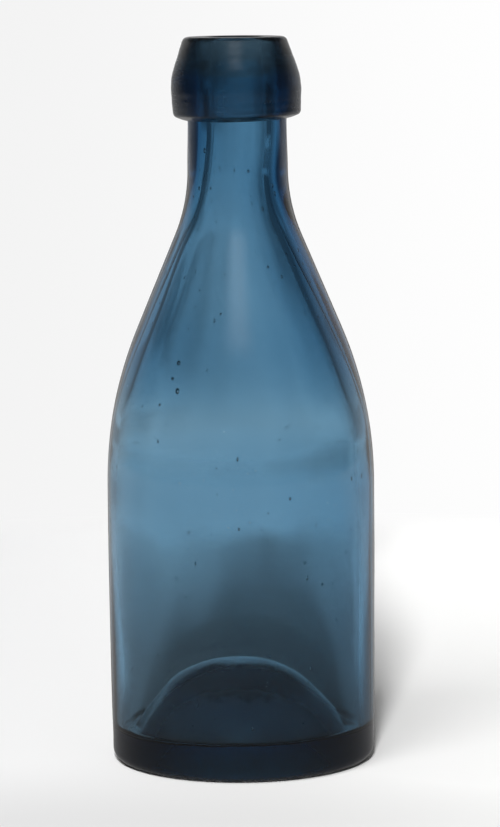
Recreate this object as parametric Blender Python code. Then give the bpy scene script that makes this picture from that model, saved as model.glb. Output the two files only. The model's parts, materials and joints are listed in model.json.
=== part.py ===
"""Blob top bottle: a thick blown bottle, and a second gather of glass laid over its neck as a lip.

Run it with blender --background --python part.py, or from Blender's text editor.
Sizes are in metres, +Z is up, and the origin is the centre of the ring that the bottle stands on.
"""

import math

import bmesh
import bpy
from mathutils import Matrix, Vector

# Outside of the blown body, from the table up
HEEL_RADIUS = 0.0329      # body radius at the heel; the mould draws in a little towards it
HEEL_ROUND = 0.0030       # rounding between the wall and the ring it stands on
STAND_WIDTH = 0.0060      # flat ring that touches the table
STAND_INNER_ROUND = 0.0015
PUSH_UP = 0.0183          # rise of the pushed-up base at its centre
PUSH_UP_FULLNESS = 2.6    # power of the dome's curve: 2 is a parabola, and more is fuller
BODY_RADIUS = 0.0334      # widest part, just under the shoulder
BODY_HEIGHT = 0.0898      # table to where the wall would meet the slope of the shoulder
SHOULDER_RISE = 0.0501    # height of the slope, from there to where it would meet the neck
SHOULDER_ROUND = 0.100    # long curve from the wall into the slope
NECK_ROUND = 0.042        # curve from the slope into the neck
NECK_RADIUS = 0.01225
NECK_LENGTH = 0.0206      # from the foot of the neck to the underside of the lip

# Glass thickness and the hollow inside
BORE_RADIUS = 0.0066
BODY_WALL = 0.0044
SHOULDER_WALL = 0.0048    # measured square to the slope
BASE_THICKNESS = 0.0080   # at the heel, where the glass gathers
CENTRE_THICKNESS = 0.0067  # over the top of the push-up
GROOVE_WIDTH = 0.0030     # floor of the groove between the wall and the push-up
GROOVE_ROUND = 0.0028

# Applied lip
LIP_HEIGHT = 0.0205       # underside to the top of the bottle
LIP_WALL = 0.0038         # glass outside the neck, at the widest
LIP_WIDEST = 0.0098       # height of the widest part above the underside
LIP_UNDERCUT = 0.0013     # how far the tooled underside rises towards its rim
LIP_RIM_ROUND = 0.0013    # rounding of the rim over the underside
LIP_TAPER = 0.0036        # how much narrower the top is than the widest part
LIP_BELLY_ROUND = 0.0160  # soft rounding of the belly, where the taper starts
LIP_TOP_ROUND = 0.0018
MOUTH_FLARE = 0.0014      # rounding between the bore and the top land
NECK_LAP = 0.0105         # length of neck that the lip covers
FUSION_GAP = 0.0003       # hairline between the two gathers of glass

# Mould seams, one down each side, which die out at the heel and under the lip
SEAM_PROUD = 0.00025
SEAM_WIDTH = 0.0010
SEAM_ROOT = 0.0010        # how deep the seam's fin is set into the wall
SEAM_FADE = 0.0100        # length over which each end of a seam dies out
SEAM_TURNS = (0.0, math.pi)

COLUMNS = 64              # facets round the bottle
CHORD_ERROR = 0.00004     # how far a facet may cut inside a rounded corner
DOME_STEPS = 10           # rings up each side of the push-up
WELD = 0.000001           # points closer together than this are one
CREASE_ANGLE = math.radians(35)

GLASS_COLOUR = (0.12, 0.27, 0.38, 1.0)
LIP_COLOUR = (0.05, 0.12, 0.18, 1.0)
GLASS_ROUGHNESS = 0.06
GLASS_IOR = 1.52


def rounded(corners):
    """The points of a run of (radius, height, rounding) corners, each rounded one replaced by an arc.

    A rounding takes at most half of the shorter straight run beside it.
    """
    points = []
    for i, (radius, height, rounding) in enumerate(corners):
        corner = Vector((radius, height))
        if not rounding:
            points.append(corner)
            continue
        back = Vector(corners[i - 1][:2]) - corner
        ahead = Vector(corners[i + 1][:2]) - corner
        half_angle = back.angle(ahead) / 2
        tangent = min(rounding / math.tan(half_angle), back.length / 2, ahead.length / 2)
        arc_radius = tangent * math.tan(half_angle)
        start = corner + back.normalized() * tangent
        end = corner + ahead.normalized() * tangent
        centre = corner + (back.normalized() + ahead.normalized()).normalized() * (
            arc_radius / math.sin(half_angle)
        )
        turn = math.pi - 2 * half_angle
        chord = 2 * math.acos(max(0.0, 1 - CHORD_ERROR / arc_radius))
        steps = max(2, math.ceil(turn / chord))
        for step in range(steps + 1):
            swept = turn * step / steps
            from_start = (start - centre) * math.sin(turn - swept)
            from_end = (end - centre) * math.sin(swept)
            points.append(centre + (from_start + from_end) / math.sin(turn))
    return points


def dome(foot_radius, foot_height, rise):
    """Corners of a push-up from just above its foot in to the axis, where it is level.

    It falls away from its top by a power of the radius, and all of its rise is gone at the foot.
    """
    corners = []
    for step in range(1, DOME_STEPS + 1):
        share = 1 - step / DOME_STEPS
        corners.append((foot_radius * share, foot_height + rise * (1 - share**PUSH_UP_FULLNESS), 0))
    return corners


def shoulder_line(inset):
    """The shoulder's slope, moved square to itself into the glass: height as a function of radius."""
    run = BODY_RADIUS - NECK_RADIUS
    drop = inset * math.hypot(run, SHOULDER_RISE) / run

    def height_at(radius):
        return BODY_HEIGHT + (BODY_RADIUS - radius) * SHOULDER_RISE / run - drop

    return height_at


def neck_foot_height():
    return BODY_HEIGHT + SHOULDER_RISE


def lip_foot_height():
    return neck_foot_height() + NECK_LENGTH


def neck_end_height():
    return lip_foot_height() + NECK_LAP


def body_underside():
    """From the centre of the push-up out to the middle of the standing ring."""
    stand_outer = HEEL_RADIUS - HEEL_ROUND
    stand_inner = stand_outer - STAND_WIDTH
    return rounded(dome(stand_inner, 0.0, PUSH_UP)[::-1] + [
        (stand_inner, 0.0, STAND_INNER_ROUND),
        (stand_outer - STAND_WIDTH / 2, 0.0, 0),
    ])


def body_outside():
    """From just past the middle of the standing ring, up to the end of the neck."""
    return rounded([
        (HEEL_RADIUS - HEEL_ROUND - STAND_WIDTH / 2, 0.0, 0),
        (HEEL_RADIUS, 0.0, HEEL_ROUND),
        (BODY_RADIUS, BODY_HEIGHT, SHOULDER_ROUND),
        (NECK_RADIUS, neck_foot_height(), NECK_ROUND),
        (NECK_RADIUS, neck_end_height(), 0),
    ])[1:]


def body_inside():
    """From the end of the neck down the bore, shoulder and wall, and over the push-up to its centre."""
    slope = shoulder_line(SHOULDER_WALL)
    inner_body = BODY_RADIUS - BODY_WALL
    inner_heel = HEEL_RADIUS - BODY_WALL
    dome_foot = inner_heel - GROOVE_WIDTH
    dome_rise = PUSH_UP + CENTRE_THICKNESS - BASE_THICKNESS
    return rounded([
        (BORE_RADIUS, neck_end_height(), 0),
        (BORE_RADIUS, slope(BORE_RADIUS), NECK_ROUND + NECK_RADIUS - BORE_RADIUS),
        (inner_body, slope(inner_body), SHOULDER_ROUND - SHOULDER_WALL),
        (inner_heel, BASE_THICKNESS, GROOVE_ROUND),
        (dome_foot, BASE_THICKNESS, GROOVE_ROUND),
    ] + dome(dome_foot, BASE_THICKNESS, dome_rise))


def lip_section():
    """The closed section of the lip: up the outside, over the land, down the bore and the socket."""
    foot = lip_foot_height()
    seat = neck_end_height() + FUSION_GAP
    top = foot + LIP_HEIGHT
    socket = NECK_RADIUS + FUSION_GAP
    widest = socket + LIP_WALL
    crown = widest - LIP_TAPER
    return rounded([
        (socket, foot, 0),
        (widest - LIP_UNDERCUT / 2, foot + LIP_UNDERCUT, LIP_RIM_ROUND),
        (widest, foot + LIP_WIDEST, LIP_BELLY_ROUND),
        (crown, top, LIP_TOP_ROUND),
        (BORE_RADIUS, top, MOUTH_FLARE),
        (BORE_RADIUS, seat, 0),
        (socket, seat, 0),
    ])


def spun(name, section, closed, material):
    """An object made by spinning a section about Z. An open section starts and ends on the axis."""
    mesh = bmesh.new()
    verts = [mesh.verts.new((radius, 0.0, height)) for radius, height in section]
    edges = [mesh.edges.new(pair) for pair in zip(verts, verts[1:])]
    if closed:
        edges.append(mesh.edges.new((verts[-1], verts[0])))
    bmesh.ops.spin(
        mesh, geom=verts + edges, cent=(0.0, 0.0, 0.0), axis=(0.0, 0.0, 1.0),
        angle=2 * math.pi, steps=COLUMNS,
    )
    bmesh.ops.remove_doubles(mesh, verts=mesh.verts, dist=WELD)
    bmesh.ops.recalc_face_normals(mesh, faces=mesh.faces)
    return finished(name, mesh, material)


def finished(name, mesh, material):
    """An object with the given mesh, shaded smooth except over its creases."""
    data = bpy.data.meshes.new(name)
    mesh.to_mesh(data)
    mesh.free()
    data.shade_smooth()
    data.set_sharp_from_angle(angle=CREASE_ANGLE)
    data.materials.append(material)
    piece = bpy.data.objects.new(name, data)
    bpy.context.scene.collection.objects.link(piece)
    return piece


def seam_section():
    """Outline of a seam's fin: its crest stands off the body's outside, and its root lies in the glass.

    Each end of the crest runs down into the wall.
    """
    low = HEEL_ROUND + SEAM_FADE
    high = lip_foot_height() - SEAM_FADE
    ridge = [point for point in body_outside() if low < point.y < high]
    crest = [point + Vector((SEAM_PROUD, 0.0)) for point in ridge]
    root = [point - Vector((SEAM_ROOT, 0.0)) for point in ridge]
    foot = Vector((HEEL_RADIUS - SEAM_ROOT, low - SEAM_FADE))
    head = Vector((NECK_RADIUS - SEAM_ROOT, high + SEAM_FADE))
    return [foot] + crest + [head] + root[::-1]


def seam_fin(turn):
    """A thin upright plate on one side of the body, which the body's wall swallows up to its crest."""
    mesh = bmesh.new()
    near_side = -SEAM_WIDTH / 2
    corners = [mesh.verts.new((point.x, near_side, point.y)) for point in seam_section()]
    plate = mesh.faces.new(corners)
    grown = bmesh.ops.extrude_face_region(mesh, geom=[plate])
    far_side = [item for item in grown["geom"] if isinstance(item, bmesh.types.BMVert)]
    bmesh.ops.translate(mesh, verts=far_side, vec=(0.0, SEAM_WIDTH, 0.0))
    bmesh.ops.rotate(mesh, verts=mesh.verts, matrix=Matrix.Rotation(turn, 3, "Z"))
    bmesh.ops.recalc_face_normals(mesh, faces=mesh.faces)
    data = bpy.data.meshes.new("seam_fin")
    mesh.to_mesh(data)
    mesh.free()
    fin = bpy.data.objects.new("seam_fin", data)
    fin.hide_render = True
    fin.display_type = "WIRE"
    bpy.context.scene.collection.objects.link(fin)
    return fin


def add_seams(body):
    """Join the mould seams to the body's wall."""
    for turn in SEAM_TURNS:
        union = body.modifiers.new("mould_seam", "BOOLEAN")
        union.operation = "UNION"
        union.solver = "EXACT"
        union.object = seam_fin(turn)


def glass(name, colour):
    """Clear tinted glass."""
    material = bpy.data.materials.new(name)
    material.use_nodes = True
    shader = material.node_tree.nodes["Principled BSDF"]
    shader.inputs["Base Color"].default_value = colour
    shader.inputs["Roughness"].default_value = GLASS_ROUGHNESS
    shader.inputs["Metallic"].default_value = 0.0
    shader.inputs["IOR"].default_value = GLASS_IOR
    shader.inputs["Transmission Weight"].default_value = 1.0
    return material


def main():
    for old in list(bpy.data.objects):
        bpy.data.objects.remove(old, do_unlink=True)
    bottle = bpy.data.objects.new("bottle", None)
    bpy.context.scene.collection.objects.link(bottle)

    body_glass = glass("body_glass", GLASS_COLOUR)
    lip_glass = glass("lip_glass", LIP_COLOUR)
    body_section = body_underside() + body_outside() + body_inside()
    body = spun("blown_body", body_section, False, body_glass)
    add_seams(body)
    lip = spun("applied_lip", lip_section(), True, lip_glass)
    for piece in (body, lip):
        piece.parent = bottle


main()
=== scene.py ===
import json
import math

import bpy
import numpy as np
from mathutils import Matrix

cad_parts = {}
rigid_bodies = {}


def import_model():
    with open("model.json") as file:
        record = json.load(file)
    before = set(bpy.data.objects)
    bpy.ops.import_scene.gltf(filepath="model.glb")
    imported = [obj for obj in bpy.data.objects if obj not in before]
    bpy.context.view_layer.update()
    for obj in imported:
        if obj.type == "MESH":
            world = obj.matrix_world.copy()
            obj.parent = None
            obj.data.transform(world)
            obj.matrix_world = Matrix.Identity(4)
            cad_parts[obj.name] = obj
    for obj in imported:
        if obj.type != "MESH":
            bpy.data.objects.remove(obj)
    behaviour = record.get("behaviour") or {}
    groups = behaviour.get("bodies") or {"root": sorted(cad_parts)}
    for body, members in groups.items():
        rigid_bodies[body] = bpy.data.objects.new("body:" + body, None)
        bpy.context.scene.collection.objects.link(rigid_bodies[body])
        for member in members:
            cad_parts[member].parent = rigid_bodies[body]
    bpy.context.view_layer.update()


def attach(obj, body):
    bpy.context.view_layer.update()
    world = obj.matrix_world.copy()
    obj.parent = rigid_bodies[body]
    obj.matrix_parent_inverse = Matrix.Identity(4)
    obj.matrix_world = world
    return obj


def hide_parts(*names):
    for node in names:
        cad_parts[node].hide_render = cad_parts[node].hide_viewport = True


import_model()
scene = bpy.context.scene
sameWithin = 1e-6  # two lengths closer than this are the same one


# A run of (radius, height, rounding) corners as points, with an arc in place of each rounded corner.
# An arc starts and ends the same length from its corner, at most half of the shorter run beside it, and
# a point of it is the arc's two ends weighted by the sines of the turn still to come and the turn so far.
def roundedLine(corners, step, facet=math.radians(6)):
    corners = np.array(corners, float)
    runs = []
    for i, corner in enumerate(corners[:, :2]):
        rounding = corners[i, 2]
        if rounding == 0:
            runs.append(corner[None])
            continue
        back = corners[i - 1, :2] - corner
        ahead = corners[(i + 1) % len(corners), :2] - corner
        backLength, aheadLength = np.linalg.norm(back), np.linalg.norm(ahead)
        back, ahead = back / backLength, ahead / aheadLength
        half = math.acos(float(back @ ahead)) / 2
        tangent = min(rounding / math.tan(half), backLength / 2, aheadLength / 2)
        arcRadius = tangent * math.tan(half)
        middle = (back + ahead) / np.linalg.norm(back + ahead)
        centre = corner + middle * arcRadius / math.sin(half)
        turn = math.pi - 2 * half
        parts = max(2, math.ceil(turn / facet), math.ceil(turn * arcRadius / step))
        swept = np.linspace(0, turn, parts + 1)[:, None]
        start, end = corner + back * tangent - centre, corner + ahead * tangent - centre
        runs.append(centre + (start * np.sin(turn - swept) + end * np.sin(swept)) / math.sin(turn))
    return np.concatenate(runs)


# The same line with no two neighbouring points further apart than step: long gaps are cut into equal parts.
def stepped(points, step):
    gaps = np.linalg.norm(np.diff(points, axis=0), axis=1)
    parts = np.maximum(1, np.ceil(gaps / step)).astype(int)
    place = np.concatenate([[0], np.cumsum(parts)])
    return np.stack([np.interp(np.arange(place[-1] + 1), place, points[:, k]) for k in (0, 1)], axis=1)


# Radius and height of a pushed-up base from its centre out to its foot: the height falls from the top by
# a power of the share of the foot's radius. The third value, a rounding, is 0.
def domeLine(footRadius, footHeight, rise, fullness, count=26):
    share = np.linspace(0, 1, count)
    return np.stack([footRadius * share, footHeight + rise * (1 - share ** fullness), 0 * share], axis=1)


# Unit normal of a section at each point, on the right of its direction of travel: the direction is the
# difference of the two neighbours, turned a quarter.
def sideways(points, closed):
    before = np.roll(points, 1, axis=0)
    after = np.roll(points, -1, axis=0)
    if not closed:
        before[0], after[-1] = points[0], points[-1]
    along = after - before
    along /= np.linalg.norm(along, axis=1)[:, None]
    return np.stack([along[:, 1], -along[:, 0]], axis=1)


# 0 at the first value, 1 at the second, which may be the lower one, and a smooth S between them.
def easing(value, none, full):
    share = np.clip((value - none) / (full - none), 0, 1)
    return share * share * (3 - 2 * share)


# Unevenness of hand-worked glass: the sum of some cosine waves over the root of their number, times the
# depth asked for. Each has a whole number of turns round the bottle, so that it meets itself, and its own
# pitch up the bottle.
def unevenness(angle, height, wave):
    dice = np.random.default_rng(wave["seed"])
    count = wave["count"]
    turns = dice.integers(wave["turns"][0], wave["turns"][1] + 1, count)
    pitch = dice.uniform(*wave["pitch"], count) * dice.choice([-1, 1], count)
    start = dice.uniform(0, 2 * math.pi, count)
    total = np.zeros_like(angle)
    for turn, rise, first in zip(turns, pitch, start):
        total += np.cos(turn * angle + 2 * math.pi * height / rise + first)
    return total * wave["depth"] / math.sqrt(count)


# Angles round the bottle, packed closer at the two mould seams: an even count u, less a share of sin 2u.
def anglesRound(columns, packing=0.25):
    even = np.arange(columns) * 2 * math.pi / columns
    return even - packing * np.sin(2 * even)


# Quads between neighbouring rows of a grid whose rows go round and meet themselves, and for a closed grid
# also between its last row and its first.
def quadsBetween(rows, columns, closed=False):
    first = np.arange(rows if closed else rows - 1)[:, None] * columns
    second = np.roll(np.arange(rows), -1)[:len(first), None] * columns
    here = np.arange(columns)[None]
    there = np.roll(here, -1)
    return np.stack([first + here, first + there, second + there, second + here], axis=-1).reshape(-1, 4)


# Faces of a closed skin: the quads of such a grid, and at each end a fan of triangles from its row to a
# pole. The two poles come after the grid's points, and the fans face the same way as the quads.
def skinFaces(rows, columns):
    here = np.arange(columns)
    there = np.roll(here, -1)
    last = (rows - 1) * columns
    pole = np.full(columns, rows * columns)
    firstFan = np.stack([pole, there, here], axis=1)
    lastFan = np.stack([last + here, last + there, pole + 1], axis=1)
    return [quadsBetween(rows, columns), firstFan, lastFan]


def intoScene(name, data):
    holder = bpy.data.objects.new(name, data)
    scene.collection.objects.link(holder)
    return holder


# A mesh piece from its points and a list of face arrays, shaded smooth except over true corners. It carries
# two masks: the faces that are fused to the other gather of glass, and the points under the base.
def glassPiece(name, points, faceArrays, fused, underside, material, cornerFrom=math.radians(52)):
    mesh = bpy.data.meshes.new(name)
    faces = [face for array in faceArrays for face in array.tolist()]
    mesh.from_pydata(points.tolist(), [], faces)
    mesh.shade_smooth()
    mesh.set_sharp_from_angle(angle=cornerFrom)
    for mask, domain, values in (("fused", "FACE", fused), ("underside", "POINT", underside)):
        attribute = mesh.attributes.new(mask, "FLOAT", domain)
        attribute.data.foreach_set("value", values.astype(np.float32))
    mesh.materials.append(material)
    mesh.validate()
    return intoScene(name, mesh)


# Materials

def addNode(tree, kind, **settings):
    node = tree.nodes.new(kind)
    for key, value in settings.items():
        setattr(node, key, value)
    return node


# Feeds a node's inputs. Each is named by its own name with _ for a space, or by n and its number. A plain
# value is set on the input, and a socket is linked to it.
def feed(tree, node, **sources):
    for key, source in sources.items():
        numbered = key[0] == "n" and key[1:].isdigit()
        socket = node.inputs[int(key[1:]) if numbered else key.replace("_", " ")]
        if isinstance(source, bpy.types.NodeSocket):
            tree.links.new(source, socket)
        else:
            socket.default_value = source
    return node


def maths(tree, operation, first, second=0.0, clamp=False):
    node = addNode(tree, "ShaderNodeMath", operation=operation, use_clamp=clamp)
    return feed(tree, node, n0=first, n1=second).outputs[0]


def product(tree, first, *others):
    for other in others:
        first = maths(tree, "MULTIPLY", first, other)
    return first


# A smooth S from one new value, where the old one is low, to the other, where it is high.
def ramped(tree, value, low, high, newLow=0.0, newHigh=1.0):
    node = addNode(tree, "ShaderNodeMapRange", interpolation_type="SMOOTHSTEP")
    feed(tree, node, Value=value, From_Min=low, From_Max=high, To_Min=newLow, To_Max=newHigh)
    return node.outputs[0]


def noise(tree, place, scale, detail=2.0, rough=0.5, distortion=0.0):
    node = addNode(tree, "ShaderNodeTexNoise")
    feed(tree, node, Vector=place, Scale=scale, Detail=detail, Roughness=rough, Distortion=distortion)
    return node.outputs["Fac"]


def stretched(tree, place, scale, turn=(0.0, 0.0, 0.0)):
    node = addNode(tree, "ShaderNodeMapping")
    return feed(tree, node, Vector=place, Scale=scale, Rotation=turn).outputs[0]


def split(tree, vector):
    return feed(tree, addNode(tree, "ShaderNodeSeparateXYZ"), Vector=vector).outputs


def distance(tree, place):
    node = addNode(tree, "ShaderNodeVectorMath", operation="LENGTH")
    return feed(tree, node, n0=place).outputs["Value"]


def mixed(tree, share, first, second, blend="MIX"):
    node = addNode(tree, "ShaderNodeMix", data_type="RGBA", blend_type=blend)
    return feed(tree, node, n0=share, n6=first, n7=second).outputs[2]


def mixedShaders(tree, share, first, second):
    return feed(tree, addNode(tree, "ShaderNodeMixShader"), n0=share, n1=first, n2=second).outputs[0]


def whiteLight(tree, kind, strength):
    return feed(tree, addNode(tree, kind), Color=(1, 1, 1, 1), Strength=strength).outputs[0]


# 1 for the rays that glass mirrors. The rays that rough glass bends count as glossy too, but only a
# mirrored one is a reflection as well.
def mirroredRays(tree, path):
    return maths(tree, "MULTIPLY", path["Is Glossy Ray"], path["Is Reflection Ray"])


agedLook = {
    "given": {"Polish": 0.03, "Haze": 0.06, "Scratches": 0.2, "Wear": 0.0, "Ripple": 0.00001},
    "scratchSets": [((70.0, 70.0, 900.0), (0.1, 0.25, 0.0), 0.006),  # stretch, turn, and width of a line
                    ((620.0, 620.0, 45.0), (0.3, -0.2, 0.4), 0.005)],
    "scratchWander": 0.3,
    # scale of a noise, its values for none and full, and its detail and roughness where they matter
    "scratchedPatches": (55.0, 0.45, 0.62),
    "hazedPatches": (38.0, 0.42, 0.75, 4.0, 0.6),
    "pittedPatches": (130.0, 0.56, 0.6),
    "rubbedPatches": (900.0, 0.35, 0.6, 3.0),
    "pitScale": 420.0,
    "pitSize": (0.05, 0.13),
    "pitRough": 0.2,
    "rubRough": 0.7,
    "rippleStretch": (1.0, 1.0, 0.45),
    "rippleScale": 150.0,
    "scratchDepth": 0.000004,
    "pitDepth": 0.00001,
    "rubDepth": 0.00002,
}


# Old glass: fine scratches are the thin contour lines of a stretched noise, haze is a slow noise, pits are
# the middles of a few Voronoi cells, and wear is rubbed glass where the mask says.
def agedGlassGroup(look):
    group = bpy.data.node_groups.new("agedGlass", "ShaderNodeTree")
    face = group.interface
    face.new_socket(name="Place", in_out="INPUT", socket_type="NodeSocketVector")
    for name, value in look["given"].items():
        face.new_socket(name=name, in_out="INPUT", socket_type="NodeSocketFloat").default_value = value
    for name in ("Roughness", "Height", "Stain"):
        face.new_socket(name=name, in_out="OUTPUT", socket_type="NodeSocketFloat")
    given = addNode(group, "NodeGroupInput").outputs
    place = given["Place"]

    def scratchSet(scale, turn, width):
        lines = noise(group, stretched(group, place, scale, turn), 1.0, distortion=look["scratchWander"])
        away = maths(group, "ABSOLUTE", maths(group, "SUBTRACT", lines, 0.5))
        return ramped(group, away, 0.0, width, 1.0, 0.0)

    def patches(scale, none, full, *more):
        return ramped(group, noise(group, place, scale, *more), none, full)

    across, down = [scratchSet(*values) for values in look["scratchSets"]]
    scratched = patches(*look["scratchedPatches"])
    scratches = product(group, maths(group, "MAXIMUM", across, down), scratched, given["Scratches"])
    haze = patches(*look["hazedPatches"])
    cells = feed(group, addNode(group, "ShaderNodeTexVoronoi"), Vector=place, Scale=look["pitScale"])
    pits = ramped(group, cells.outputs["Distance"], *look["pitSize"], 1.0, 0.0)
    pitted = product(group, pits, patches(*look["pittedPatches"]))
    rubbed = product(group, given["Wear"], patches(*look["rubbedPatches"]))
    rough = maths(group, "ADD", given["Polish"], product(group, haze, given["Haze"]))
    rough = maths(group, "ADD", rough, scratches)
    rough = maths(group, "ADD", rough, product(group, rubbed, look["rubRough"]))
    rough = maths(group, "ADD", rough, product(group, pitted, look["pitRough"]), clamp=True)
    ripples = noise(group, stretched(group, place, look["rippleStretch"]), look["rippleScale"], 1.0)
    height = product(group, ripples, given["Ripple"])
    for marks, depth in ((scratches, "scratchDepth"), (pitted, "pitDepth"), (rubbed, "rubDepth")):
        height = maths(group, "SUBTRACT", height, product(group, marks, look[depth]))
    stain = maths(group, "ADD", haze, rubbed, clamp=True)
    feed(group, addNode(group, "NodeGroupOutput"), Roughness=rough, Height=height, Stain=stain)
    return group


agedGlass = agedGlassGroup(agedLook)

# what both pieces' glass has in common
glassLook = {
    "ior": 1.52,
    "density": 2000.0,
    "clear": (0.985, 0.99, 0.995, 1.0),
    "stained": (0.93, 0.95, 0.955, 1.0),
    "wearFull": 0.35,                        # the share of its height up to which the wear is full
    "heelTint": (0.98, 0.87, 0.74, 1.0),        # a brownish tint that dulls the blue low on the heel
    "heelTintBelow": (0.005, 0.010),
    "iron": (0.10, 0.07, 0.055, 1.0),        # a ring under the base
    "ironInner": (0.0065, 0.0085),           # where the ring begins and ends, out from the middle
    "ironOuter": (0.0135, 0.0155),
    "ironUneven": (260.0, 4.0),              # scale and detail of the noise that moves its edges
    "ironWander": 0.005,                     # and how far it moves them
    "undersideRough": 0.55,
}


# Tinted glass that absorbs light along its way through. Alpha is nothing where two gathers of glass are
# fused together, so that light passes there as it does through one piece.
def glassMaterial(name, look):
    material = bpy.data.materials.new(name)
    material.use_nodes = True
    tree = material.node_tree
    place = addNode(tree, "ShaderNodeTexCoord").outputs["Object"]
    across, deep, high = split(tree, place)
    wear, wornBelow = 0.0, look["wornBelow"]
    if wornBelow:
        wear = ramped(tree, high, wornBelow * glassLook["wearFull"], wornBelow, 1.0, 0.0)
    aged = addNode(tree, "ShaderNodeGroup", node_tree=agedGlass)
    feed(tree, aged, Place=place, Polish=look["polish"], Haze=look["haze"], Scratches=look["scratches"],
         Wear=wear, Ripple=look["ripple"])
    tint = mixed(tree, aged.outputs["Stain"], glassLook["clear"], glassLook["stained"])
    rough = aged.outputs["Roughness"]
    if look["ironMark"]:
        flat = feed(tree, addNode(tree, "ShaderNodeCombineXYZ"), X=across, Y=deep, Z=0.0).outputs[0]
        wander = product(tree, noise(tree, place, *glassLook["ironUneven"]), glassLook["ironWander"])
        reach = maths(tree, "ADD", distance(tree, flat), wander)
        begun = ramped(tree, reach, *glassLook["ironInner"])
        ring = product(tree, begun, ramped(tree, reach, *glassLook["ironOuter"], 1.0, 0.0))
        under = addNode(tree, "ShaderNodeAttribute", attribute_name="underside").outputs["Fac"]
        tintedLow = ramped(tree, high, *glassLook["heelTintBelow"], 1.0, 0.0)
        tint = mixed(tree, tintedLow, tint, glassLook["heelTint"], "MULTIPLY")
        tint = mixed(tree, product(tree, ring, under, look["ironMark"]), tint, glassLook["iron"])
        rough = maths(tree, "ADD", rough, product(tree, under, glassLook["undersideRough"]), clamp=True)
    bump = addNode(tree, "ShaderNodeBump")
    feed(tree, bump, Height=aged.outputs["Height"], Strength=1.0, Distance=1.0)
    fused = addNode(tree, "ShaderNodeAttribute", attribute_name="fused").outputs["Fac"]
    feed(tree, tree.nodes["Principled BSDF"], Base_Color=tint, Roughness=rough, Metallic=0.0,
         IOR=glassLook["ior"], Transmission_Weight=1.0, Normal=bump.outputs[0],
         Alpha=maths(tree, "SUBTRACT", 1.0, fused))
    inside = addNode(tree, "ShaderNodeVolumeAbsorption")
    feed(tree, inside, Color=look["absorb"], Density=glassLook["density"])
    tree.links.new(inside.outputs[0], tree.nodes["Material Output"].inputs["Volume"])
    return material


# what both pieces' shapes follow
bothShape = {
    # the hollow isn't quite in the middle of the glass: height, and its place to the right
    "drift": [(0.0, -0.0004), (0.060, -0.0006), (0.100, -0.0003), (0.128, -0.0007), (0.142, -0.0005),
              (0.158, 0.0003), (0.174, -0.0002)],
    # the lip's foot is lower on one side, and a little uneven: turns round, height and start of each wave
    "footWaves": [(1, 0.00018, 0.0), (3, 0.00006, 1.2), (5, 0.00004, 0.4)],
}


# The hollow's place to the right at a height: its places at the given heights, eased between them.
def driftAt(height):
    drift = bothShape["drift"]
    shift = np.full_like(height, drift[0][1])
    for (low, before), (high, after) in zip(drift, drift[1:]):
        shift += (after - before) * easing(height, low, high)
    return shift


# How far the foot of the lip stands off its level round the neck: a sum of cosine waves.
def footShift(angle):
    return sum(height * np.cos(turns * angle + start) for turns, height, start in bothShape["footWaves"])


# Blown body

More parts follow.
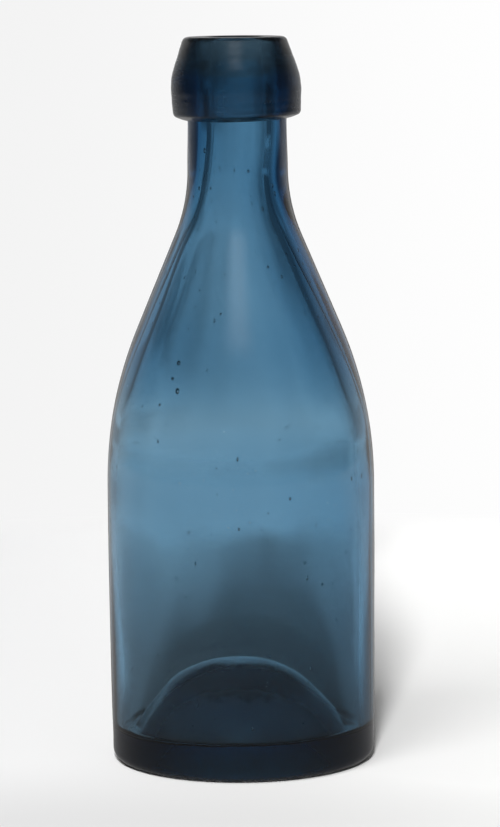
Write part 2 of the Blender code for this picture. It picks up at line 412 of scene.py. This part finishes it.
blownShape = {
    "baseDome": (0.0239, 0.0, 0.0183, 2.6),  # foot radius, foot height, rise, fullness
    "outside": [(0.0239, 0.0, 0.0015), (0.0269, 0.0, 0.0), (0.0329, 0.0, 0.003), (0.0334, 0.0898, 0.100),
                (0.01225, 0.1399, 0.042), (0.01225, 0.1605, 0.0), (0.01225, 0.1710, 0.0)],
    "inside": [(0.0066, 0.1710, 0.0), (0.0067, 0.1410, 0.042), (0.0297, 0.0860, 0.035),
               (0.0296, 0.008, 0.0028), (0.0259, 0.008, 0.0028)],
    "floorDome": (0.0259, 0.008, 0.0170, 2.6),
    "underTop": 0.0185,            # just above the top of the pushed-up base
    "underOut": (0.0262, 0.0240),  # radii from none to full of the matt underside
    "heelFrom": 0.032,             # the wall begins where the outside first reaches this radius
    "oval": 0.0007,                # how much less the hollow reaches to the front and back than sideways
    "ovalBelow": (0.124, 0.098),   # heights, and then radii, from none to full
    "ovalOut": (0.015, 0.028),
    "lipFoot": 0.1605,
    "footReach": 0.004,            # how far up and down the neck its outside follows the lip's foot
    "columns": 248,
    "step": 0.0017,
    "seams": (0, math.pi),
    "seamProud": 0.00018,
    "seamWidth": 0.0004,
    "seamFrom": (0.003, 0.014),    # heights from none to full
    "seamTo": (0.0005, 0.012),     # and lengths below the lip's foot
    "skinFrom": (0.002, 0.012),    # the same for the waves of the outside
    "skinTo": (0.0005, 0.004),
    "whittle": {"seed": 4, "count": 9, "turns": (5, 14), "pitch": (0.018, 0.05), "depth": 0.00002},
    "outerWave": {"seed": 8, "count": 6, "turns": (1, 4), "pitch": (0.06, 0.16), "depth": 0.00006},
    "domeIn": (0.0, 0.012),        # radii from none to full, and from full to none, of the base's waves
    "domeOut": (0.018, 0.023),
    "domeWave": {"seed": 51, "count": 6, "turns": (1, 4), "pitch": (0.06, 0.16), "depth": 0.00025},
    "hollowTo": (-0.008, 0.002),   # the same for the waves of the inside, which begin above the lip's foot
    "hollowOut": (0.0, 0.02),      # and radii from none to full
    "innerWave": {"seed": 21, "count": 8, "turns": (1, 5), "pitch": (0.05, 0.20), "depth": 0.00022},
    "stretch": {"seed": 33, "count": 9, "turns": (6, 18), "pitch": (0.15, 0.6), "depth": 0.00005},
    "bubbles": {
        "seed": 12,
        "count": 250,
        "heights": (0.013, 0.156),
        "radius": (0.00008, 0.00032),
        "smallness": 2.0,          # a higher power makes more of them small
        "stretch": (1.0, 2.4),
        "depth": (0.28, 0.72),     # share of the way from the inner face of the wall to the outer one
        "largeDepth": 0.55,
        "segments": 8,
        "rings": 6,
        # angle round from the front, height, radius and stretch of the larger ones
        "large": [(-34, 0.1022, 0.00048, 1.3), (-36, 0.0985, 0.00040, 1.0), (-32, 0.0957, 0.00052, 1.5),
                  (-41, 0.0922, 0.00030, 1.2), (22, 0.0700, 0.00028, 1.5), (-12, 0.1140, 0.00026, 1.2)],
    },
    "glass": {
        "absorb": (0.882, 0.929, 0.952, 1.0),  # of red, green and blue, what a unit of density lets through
        "polish": 0.04,
        "haze": 0.05,
        "scratches": 0.16,
        "ripple": 0.00001,
        "wornBelow": 0.0012,
        "ironMark": 0.85,
    },
}


# Bubbles: a unit ball on a grid of turn and tilt, its faces turned inwards, times each bubble's size and
# stretch up the wall, set at its place between the inner and the outer face of the wall.
def seedBubbles(shape, outside, inside):
    bubbles = shape["bubbles"]
    dice = np.random.default_rng(bubbles["seed"])
    large = np.array(bubbles["large"], float)
    count = bubbles["count"]
    height = np.concatenate([dice.uniform(*bubbles["heights"], count), large[:, 1]])
    angle = np.concatenate([dice.uniform(0, 2 * math.pi, count), np.radians(large[:, 0] - 90)])
    low, high = bubbles["radius"]
    size = np.concatenate([low + (high - low) * dice.random(count) ** bubbles["smallness"], large[:, 2]])
    stretch = np.concatenate([dice.uniform(*bubbles["stretch"], count), large[:, 3]])
    depth = dice.uniform(*bubbles["depth"], count)
    depth = np.concatenate([depth, np.full(len(large), bubbles["largeDepth"])])
    outer = np.interp(height, outside[:, 1], outside[:, 0])
    inner = np.interp(height, inside[::-1, 1], inside[::-1, 0])
    inner = inner + driftAt(height) * np.cos(angle) - shape["oval"] * np.sin(angle) ** 2
    radius = inner + (outer - inner) * depth
    centre = np.stack([radius * np.cos(angle), radius * np.sin(angle), height], axis=1)
    rows, columns = bubbles["rings"] - 1, bubbles["segments"]
    tilt = np.linspace(0, math.pi, bubbles["rings"] + 1)[1:-1, None]
    turn = np.arange(columns)[None] * 2 * math.pi / columns
    out, up = np.sin(tilt), np.cos(tilt) + 0 * turn
    ball = np.stack([out * np.cos(turn), out * np.sin(turn), up], axis=-1)
    ball = np.concatenate([ball.reshape(-1, 3), [[0, 0, 1], [0, 0, -1]]])
    grown = ball[None] * size[:, None, None]
    grown[:, :, 2] *= stretch[:, None]
    points = (centre[:, None] + grown).reshape(-1, 3)
    offsets = np.arange(len(centre))[:, None, None] * len(ball)
    return points, [(faces + offsets).reshape(-1, faces.shape[1]) for faces in skinFaces(rows, columns)]


# The whole blown body as one closed skin: out from under the base, up the outside, over the end of the
# neck, down the inside and in over the floor. A point is the section's point moved along the section's
# normal by the waves and the seams, and turned round the axis.
def blownBody(shape):
    step, foot = shape["step"], shape["lipFoot"]
    under = domeLine(*shape["baseDome"])[:-1]
    outside = stepped(roundedLine(np.concatenate([under[-2:-1], shape["outside"]]), step)[1:], step)
    outside = np.concatenate([stepped(under[:, :2], step), outside])
    floor = domeLine(*shape["floorDome"])[::-1][1:]
    inside = stepped(roundedLine(np.concatenate([shape["inside"], floor]), step), step)
    section = np.concatenate([outside, inside])
    isInside = (np.arange(len(section)) >= len(outside))[:, None]
    isUnder = ~isInside & (section[:, 1:] < shape["underTop"])
    normal = sideways(section, False)
    angle = anglesRound(shape["columns"])[None] + 0 * section[:, :1]
    radius, height = section[:, :1] + 0 * angle, section[:, 1:] + 0 * angle

    def belowLip(name):
        return easing(height, *(foot - np.array(shape[name])))

    def waves(*names):
        return sum(unevenness(angle, height, shape[name]) for name in names)

    # outside: waves die out at the ring it stands on and under the lip
    skin = easing(height, *shape["skinFrom"]) * belowLip("skinTo") * ~isInside
    shift = skin * waves("whittle", "outerWave")
    for seam in shape["seams"]:
        off = radius * np.abs(np.angle(np.exp(1j * (angle - seam))))
        ridge = np.exp(-(off / shape["seamWidth"]) ** 2) * easing(height, *shape["seamFrom"])
        shift += shape["seamProud"] * ridge * belowLip("seamTo") * ~isInside
    # inside: deeper waves, less in the bore and on the floor, and none at the end of the neck
    hollow = isInside * belowLip("hollowTo") * easing(radius, *shape["hollowOut"])
    shift += hollow * waves("innerWave", "stretch")
    oval = easing(height, *shape["ovalBelow"]) * easing(radius, *shape["ovalOut"])
    shift += shape["oval"] * oval * np.sin(angle) ** 2 * isInside
    # the pushed-up base is a little uneven too
    domed = easing(radius, *shape["domeIn"]) * (1 - easing(radius, *shape["domeOut"])) * isUnder
    shift += domed * waves("domeWave")
    radius = radius + normal[:, :1] * shift
    height = height + normal[:, 1:] * shift
    height = height + footShift(angle) * np.exp(-((height - foot) / shape["footReach"]) ** 2) * ~isInside
    drift = driftAt(height) * isInside
    grid = np.stack([radius * np.cos(angle) + drift, radius * np.sin(angle), height], axis=-1)[1:-1]
    rows, columns = grid.shape[:2]
    poles = [[0, 0, section[0, 1]], [drift[-1, 0], 0, section[-1, 1]]]
    points = np.concatenate([grid.reshape(-1, 3), poles])
    # bubbles lie between the wall's two faces: the outside from the heel up, and the inside above the floor
    outerWall = outside[np.argmax(outside[:, 0] > shape["heelFrom"]):]
    innerWall = inside[:np.argmin(inside[:, 1])]
    seeds, seedFaces = seedBubbles(shape, outerWall, innerWall)
    faceArrays = skinFaces(rows, columns) + [faces + len(points) for faces in seedFaces]
    # the neck's outside above the lip's foot, and its end, are fused to the lip
    rowMiddle = (section[1:-2, 1] + section[2:-1, 1]) / 2
    rowFused = (rowMiddle > foot) & (~isInside[2:-1, 0] | (np.abs(rowMiddle - inside[0, 1]) < sameWithin))
    fused = np.concatenate([np.repeat(rowFused, columns), np.zeros(sum(map(len, faceArrays[1:])))])
    matt = easing(section[1:-1, 0], *shape["underOut"]) * isUnder[1:-1, 0]
    underside = np.concatenate([np.repeat(matt, columns), [1, 0], np.zeros(len(seeds))])
    return np.concatenate([points, seeds]), faceArrays, fused, underside


points, faceArrays, fused, underside = blownBody(blownShape)
bodyGlass = glassMaterial("bodyGlass", blownShape["glass"])
blownGlass = glassPiece("blownGlass", points, faceArrays, fused, underside, bodyGlass)
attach(blownGlass, "root")
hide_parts("blown_body")
print("blown body:", len(blownGlass.data.polygons), "faces")

# Applied lip

lipShape = {
    # corners from the socket's foot round the outside, the land, the bore and the seat
    "section": [(0.0123, 0.1605, 0.0), (0.0157, 0.1618, 0.0013), (0.01635, 0.1703, 0.016),
                (0.01275, 0.181, 0.0018), (0.0066, 0.181, 0.0014), (0.0066, 0.17105, 0.0),
                (0.0123, 0.17105, 0.0)],
    "columns": 248,
    "step": 0.0006,
    "boreRim": 0.0085,             # the radius at which the bore's mouth ends and the land begins
    "landFade": (0.0008, 0.0002),  # lengths below the land from full to none of the waves
    "socketFade": (0.0001, 0.0012),  # lengths out from the socket, and up from the seat, from none to full
    "seatFade": (0.001, 0.004),
    "footReach": 0.003,            # how far up the lip its uneven foot is felt
    "lean": 0.00042,
    "leanOut": 0.001,              # how far out from the socket the lean is full
    "tooling": {"seed": 5, "count": 7, "turns": (0, 2), "pitch": (0.0016, 0.006), "depth": 0.000022},
    "lumps": {"seed": 17, "count": 7, "turns": (2, 6), "pitch": (0.012, 0.05), "depth": 0.00008},
    "glass": {
        "absorb": (0.896, 0.919, 0.931, 1.0),
        "polish": 0.18,
        "haze": 0.10,
        "scratches": 0.12,
        "ripple": 0.000012,
        "wornBelow": 0.0,
        "ironMark": 0.0,
    },
}


# The lip as a closed ring: its section goes round from the foot out over the belly and the land, down the
# bore and back along the seat and the socket. The outside carries the tool's fine rings and some lumps,
# and leans to one side by a share that grows with height and fades to nothing in the bore. The bore goes
# with the hollow of the body.
def appliedLip(shape):
    socket, foot = shape["section"][0][:2]
    top, seat = shape["section"][3][1], shape["section"][-1][1]
    section = roundedLine(shape["section"], shape["step"])
    section = stepped(np.concatenate([section, section[:1]]), shape["step"])[:-1]
    normal = sideways(section, True)
    angle = anglesRound(shape["columns"])[None] + 0 * section[:, :1]
    radius, height = section[:, :1] + 0 * angle, section[:, 1:] + 0 * angle
    belowLand = 1 - easing(height, *(top - np.array(shape["landFade"])))
    free = easing(radius, *(socket + np.array(shape["socketFade"]))) * belowLand
    mouth = (radius < shape["boreRim"]) * easing(height, *(seat + np.array(shape["seatFade"]))) * belowLand
    waves = unevenness(angle, height, shape["tooling"]) + unevenness(angle, height, shape["lumps"])
    shift = (free + mouth) * waves
    radius = radius + normal[:, :1] * shift
    height = height + normal[:, 1:] * shift
    height = height + footShift(angle) * np.exp(-((height - foot) / shape["footReach"]) ** 2)
    leaning = easing(radius, shape["boreRim"], socket + shape["leanOut"])
    lean = shape["lean"] * ((height - foot) / (top - foot)) * leaning
    drift = driftAt(height) * easing(radius, socket, shape["boreRim"])
    grid = np.stack([radius * np.cos(angle) - lean + drift, radius * np.sin(angle), height], axis=-1)
    rows, columns = grid.shape[:2]
    # the socket and the seat are fused to the neck
    middle = (section + np.roll(section, -1, axis=0)) / 2
    rowFused = (np.abs(middle - (socket, seat)) < sameWithin).any(axis=1)
    return grid.reshape(-1, 3), [quadsBetween(rows, columns, closed=True)], np.repeat(rowFused, columns)


points, faceArrays, fused = appliedLip(lipShape)
lipMaterial = glassMaterial("lipGlass", lipShape["glass"])
lipGlass = glassPiece("lipGlass", points, faceArrays, fused, np.zeros(len(points)), lipMaterial)
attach(lipGlass, "root")
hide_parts("applied_lip")
print("applied lip:", len(lipGlass.data.polygons), "faces")

# Floor and light

stageShape = {
    "half": 0.72,
    "front": -0.40,
    "back": 0.86,
    "columns": 41,
    "rows": 111,
    "sweepStart": 0.42,
    "sweepRadius": 0.5,
    "tableRadius": 1.0,
    "tableMiddle": 0.02,
    "tableColumns": 96,
    "tableRings": 30,
    "tableDrop": 0.0006,
    "gap": 0.00008,                # air between the ring the bottle stands on and the paper
    # painted shade: the paper's colour is darker on the left than on the right
    "paperShadedLeft": (0.90, 0.90, 0.905, 1.0),
    "paperRight": (0.985, 0.985, 0.975, 1.0),
    "frontShade": (0.825, 1.0),    # painted shade: the paper in front of the bottle is a little darker
    "frontDeep": (-0.075, 0.0),
    "frontRise": (0.0, 0.1),       # but less so to the right
    "frontAcross": (0.0, 0.08),
    "paintedLight": (0.015, 0.180),        # painted light: behind it the camera sees the paper a little lighter, left and right
    "paintedLightDeep": (0.05, 0.36),
    "glow": (0.895, 0.995),        # the even white further off, left and right of the bottle, darker on the left as painted shade
    "glowAcross": (-0.15, 0.15),
    "glowReach": (0.34, 0.395),    # how far from the bottle it begins, and is full
    "paintedShadow": (0.265, 0.25, 0.25, 1.0),  # painted shadow: bent light sees the paper this much darker near the bottle
    "paintedShadowDeep": (0.12, 0.48),
    "paintedShadowAside": (0.06, 0.15),
    "paintedShadowFront": (-0.06, -0.02),
    "unlit": 0.60,                 # and sees the even white darken towards its sides, at most by this
    "unlitReach": (0.33, 0.58),
    "litLeft": (-0.11, 0.36),
    "litRight": (0.02, 0.60),
    "litDeep": (0.06, 0.22),       # only behind the bottle
    "leftHigh": (0.09, 0.15),      # and on the left only below these heights
    "mirrored": (0.22, 0.44),      # its level in what the glass mirrors, in front of and behind the bottle
    "mirroredDeep": (-0.05, 0.25),
}


def stagePiece(name, points, faces):
    mesh = bpy.data.meshes.new(name)
    mesh.from_pydata(points.reshape(-1, 3).tolist(), [], faces.tolist())
    mesh.shade_smooth()
    piece = intoScene(name, mesh)
    return piece


# Paper sweep: level, and then a circle's arc rising behind the bottle.
def paperSweep(shape):
    across = np.linspace(-shape["half"], shape["half"], shape["columns"])[None]
    deep = np.linspace(shape["front"], shape["back"], shape["rows"])[:, None]
    past = np.maximum(deep - shape["sweepStart"], 0)
    rise = shape["sweepRadius"] - np.sqrt(shape["sweepRadius"] ** 2 - past ** 2)
    points = np.stack([across + 0 * deep, deep + 0 * across, rise + 0 * across - shape["gap"]], axis=-1)
    rows, columns = points.shape[:2]
    corner = (np.arange(rows - 1)[:, None] * columns + np.arange(columns - 1)[None]).reshape(-1)
    faces = np.stack([corner, corner + 1, corner + columns + 1, corner + columns], axis=1)
    return stagePiece("paperSweep", points, faces)


# Table: a disc just under the paper, as rings of a growing radius round its middle.
def tableTop(shape):
    turn = np.arange(shape["tableColumns"]) * 2 * math.pi / shape["tableColumns"]
    reach = np.linspace(shape["tableMiddle"], shape["tableRadius"], shape["tableRings"])[:, None]
    level = 0 * reach * turn - shape["tableDrop"]
    points = np.stack([reach * np.cos(turn), reach * np.sin(turn), level], axis=-1)
    rows, columns = points.shape[:2]
    return stagePiece("tableTop", points, quadsBetween(rows, columns)[:, ::-1])


# Paper that takes the bottle's shadow near it, and further off is seen as white. Its colour and that white
# hold painted shade on the left, its colour also in front of the bottle, and painted light lifts it behind
# the bottle for the camera. Through the glass it holds a painted shadow near the bottle and painted shade
# towards the sides, and in what the glass mirrors it is duller. Its back isn't seen, so that the bottle
# shows from behind and from below.
def paperMaterial(shape):
    material = bpy.data.materials.new("sweepPaper")
    material.use_nodes = True
    tree = material.node_tree
    place = addNode(tree, "ShaderNodeTexCoord").outputs["Object"]
    across, deep, high = split(tree, place)
    reach = distance(tree, place)
    path = addNode(tree, "ShaderNodeLightPath").outputs
    camera, bent = path["Is Camera Ray"], path["Is Transmission Ray"]

    # painted shade: the paper is darker on the left
    right = ramped(tree, across, *shape["glowAcross"])
    colour = mixed(tree, right, shape["paperShadedLeft"], shape["paperRight"])
    # painted shadow: seen through the glass, the paper is darker close behind the bottle
    paintedShadow = product(tree, ramped(tree, deep, *shape["paintedShadowDeep"], 1.0, 0.0), bent,
                   ramped(tree, maths(tree, "ABSOLUTE", across), *shape["paintedShadowAside"], 1.0, 0.0),
                   ramped(tree, deep, *shape["paintedShadowFront"]))
    colour = mixed(tree, paintedShadow, colour, shape["paintedShadow"], "MULTIPLY")
    # painted shade: the paper in front of the bottle is darker, less so to the right
    frontShade = maths(tree, "ADD", ramped(tree, deep, *shape["frontDeep"], *shape["frontShade"]),
                       ramped(tree, across, *shape["frontAcross"], *shape["frontRise"]))
    frontShaded = addNode(tree, "ShaderNodeVectorMath", operation="SCALE")
    feed(tree, frontShaded, n0=colour, Scale=maths(tree, "MINIMUM", frontShade, 1.0))
    # painted light: the paper glows a little for the camera behind the bottle, more on the right
    paintedLight = product(tree, ramped(tree, across, *shape["glowAcross"], *shape["paintedLight"]),
                   ramped(tree, deep, *shape["paintedLightDeep"]), camera)
    paper = tree.nodes["Principled BSDF"]
    feed(tree, paper, Base_Color=frontShaded.outputs[0], Roughness=1.0, Specular_IOR_Level=0.0,
         Emission_Color=(1, 1, 1, 1), Emission_Strength=paintedLight)

    leftOf = ramped(tree, maths(tree, "MULTIPLY", across, -1.0), *shape["litLeft"], 0.0, shape["unlit"])
    leftOf = product(tree, leftOf, ramped(tree, high, *shape["leftHigh"], 1.0, 0.0))
    rightOf = ramped(tree, across, *shape["litRight"], 0.0, shape["unlit"])
    unlit = product(tree, maths(tree, "MAXIMUM", leftOf, rightOf), ramped(tree, deep, *shape["litDeep"]),
                    ramped(tree, reach, *shape["unlitReach"]), bent)
    level = product(tree, ramped(tree, across, *shape["glowAcross"], *shape["glow"]),
                    maths(tree, "SUBTRACT", 1.0, unlit))
    far = product(tree, ramped(tree, reach, *shape["glowReach"]), maths(tree, "MAXIMUM", camera, bent))
    white = mixedShaders(tree, far, paper.outputs[0], whiteLight(tree, "ShaderNodeEmission", level))
    dullness = ramped(tree, deep, *shape["mirroredDeep"], *shape["mirrored"])
    dull = whiteLight(tree, "ShaderNodeEmission", dullness)
    mirrored = mixedShaders(tree, mirroredRays(tree, path), white, dull)
    turned = addNode(tree, "ShaderNodeNewGeometry").outputs["Backfacing"]
    clear = addNode(tree, "ShaderNodeBsdfTransparent").outputs[0]
    seen = mixedShaders(tree, turned, mirrored, clear)
    tree.links.new(seen, tree.nodes["Material Output"].inputs["Surface"])
    return material


sweepPaper = paperMaterial(stageShape)
for piece in (paperSweep(stageShape), tableTop(stageShape)):
    piece.data.materials.append(sweepPaper)

roomShape = {
    "ambient": 0.185,
    "white": 0.97,
    "dim": 0.08,
    "high": (0.30, 0.50),          # how steeply up a direction points where the bright fields fade
    "behind": (0.62, 1.0),         # how squarely behind the bottle a direction points, for the full level
    "sides": (0.80, 0.18),         # share of that level everywhere else, low down and higher up
    "sidesHigh": (-0.115, -0.080),
    "abeam": (0.22, 0.42),         # and squarely to the sides, from full to none, and its share
    "abeamShare": 0.80,
    "rear": (0.72, 0.95),          # and squarely in front, from none to full, and its share
    "rearShare": 0.80,
    "mirroredWhite": 0.44,         # the same levels in what the glass mirrors
    "mirroredDim": 0.06,
    "mirroredBehind": (0.15, 0.80),
    "windowLevel": 1.3,
    "windowSide": (-0.01, 0.04, 0.36),  # middle, and half widths of full and no light
    "windowHeight": (0.73, 0.02, 0.22),
    "windowFront": (-0.2, 0.0),    # it is only in front of the bottle
}


# The room: an even light on the paper, and white where the camera looks past the paper. Light bent by the
# glass meets a white field behind the bottle and less white ones low down, to the sides and in front, and
# mirrored light meets a dull field behind the bottle. Past these the room is dim, but for a soft window in
# front. The fields read the direction that light comes from: across, deep and high.
def roomLight(shape):
    world = bpy.data.worlds.new("studio")
    scene.world = world
    world.use_nodes = True
    tree = world.node_tree
    across, deep, high = split(tree, addNode(tree, "ShaderNodeTexCoord").outputs["Generated"])

    def within(value, middle, full, none):
        off = maths(tree, "ABSOLUTE", maths(tree, "SUBTRACT", value, middle))
        return ramped(tree, off, full, none, 1.0, 0.0)

    def lit(field, dim, white):
        return maths(tree, "ADD", maths(tree, "ADD", product(tree, field, white - dim), dim), window)

    window = product(tree, within(across, *shape["windowSide"]), within(high, *shape["windowHeight"]),
                     ramped(tree, deep, *shape["windowFront"], 1.0, 0.0), shape["windowLevel"])
    low = ramped(tree, high, *shape["high"], 1.0, 0.0)
    sides = ramped(tree, high, *shape["sidesHigh"], *shape["sides"])
    abeam = ramped(tree, maths(tree, "ABSOLUTE", deep), *shape["abeam"], shape["abeamShare"], 0.0)
    rear = ramped(tree, maths(tree, "MULTIPLY", deep, -1.0), *shape["rear"], 0.0, shape["rearShare"])
    field = ramped(tree, deep, *shape["behind"])
    for other in (sides, abeam, rear):
        field = maths(tree, "MAXIMUM", field, other)
    bent = lit(product(tree, field, low), shape["dim"], shape["white"])
    field = product(tree, ramped(tree, deep, *shape["mirroredBehind"]), low)
    mirrored = lit(field, shape["mirroredDim"], shape["mirroredWhite"])
    path = addNode(tree, "ShaderNodeLightPath").outputs
    shown = feed(tree, tree.nodes["Background"], Color=(1, 1, 1, 1), Strength=shape["ambient"]).outputs[0]
    for ray, level in ((path["Is Transmission Ray"], bent), (mirroredRays(tree, path), mirrored),
                       (path["Is Camera Ray"], shape["white"])):
        shown = mixedShaders(tree, ray, shown, whiteLight(tree, "ShaderNodeBackground", level))
    tree.links.new(shown, tree.nodes["World Output"].inputs["Surface"])


roomLight(roomShape)

keyShape = {
    "strength": 40.3,
    "size": 0.06,         # its radius, which softens the shadow
    "away": 1.1,
    "side": 3.2,          # degrees left of the camera
    "height": 33.5,       # degrees above the floor
}
sideShape = {
    "strength": 0.99,
    "size": 25.0,         # degrees across, as seen from the bottle
    "away": 0.0,          # a distant lamp
    "side": 30.0,
    "height": 55.0,
}


# A lamp hidden from what the glass bends and mirrors. It stands at, or shines from, a side and a height in
# degrees. It shines along its own -Z, so its frame is the side, up and back of the way that its light goes.
def studioLamp(name, shape):
    turn, rise = math.radians(shape["side"]), math.radians(shape["height"])
    way = np.array([math.sin(turn) * math.cos(rise), math.cos(turn) * math.cos(rise), -math.sin(rise)])
    across = np.cross(way, (0, 0, 1))
    across /= np.linalg.norm(across)
    stand = np.eye(4)
    stand[:3] = np.stack([across, np.cross(across, way), -way, -way * shape["away"]], axis=1)
    lamp = bpy.data.lights.new(name, "POINT" if shape["away"] else "SUN")
    lamp.energy = shape["strength"]
    if shape["away"]:
        lamp.shadow_soft_size = shape["size"]
        lamp.use_nodes = True  # its light doesn't fall off with distance, so that the paper is evenly lit
        tree = lamp.node_tree
        falloff = feed(tree, addNode(tree, "ShaderNodeLightFalloff"), Strength=1.0)
        feed(tree, tree.nodes["Emission"], Strength=falloff.outputs["Constant"])
    else:
        lamp.angle = math.radians(shape["size"])
    holder = intoScene(name, lamp)
    holder.matrix_world = Matrix(stand.tolist())
    holder.visible_glossy = False
    holder.visible_transmission = False


studioLamp("keyLamp", keyShape)
studioLamp("sideLamp", sideShape)
print("stage and lamps set")

# Camera

cameraShape = {
    "place": (0.00246, -0.900, 0.204),
    "down": 7.40,         # degrees below level
    "roll": -0.58,
    "lens": 157.93,
    "sensor": 36.0,
    "nearest": 0.01,
}
camera = bpy.data.cameras.new("camera")
camera.lens = cameraShape["lens"]
camera.sensor_width = cameraShape["sensor"]
camera.clip_start = cameraShape["nearest"]
tilt = Matrix.Rotation(math.radians(90 - cameraShape["down"]), 4, "X")
roll = Matrix.Rotation(math.radians(cameraShape["roll"]), 4, "Z")
scene.camera = intoScene("camera", camera)
scene.camera.matrix_world = Matrix.Translation(cameraShape["place"]) @ tilt @ roll

scene.view_settings.view_transform = "Standard"
scene.cycles.use_denoising = True
scene.cycles.max_bounces = 28
scene.cycles.transmission_bounces = 28
scene.cycles.glossy_bounces = 14
scene.cycles.transparent_max_bounces = 24
scene.cycles.caustics_reflective = False
scene.cycles.caustics_refractive = False
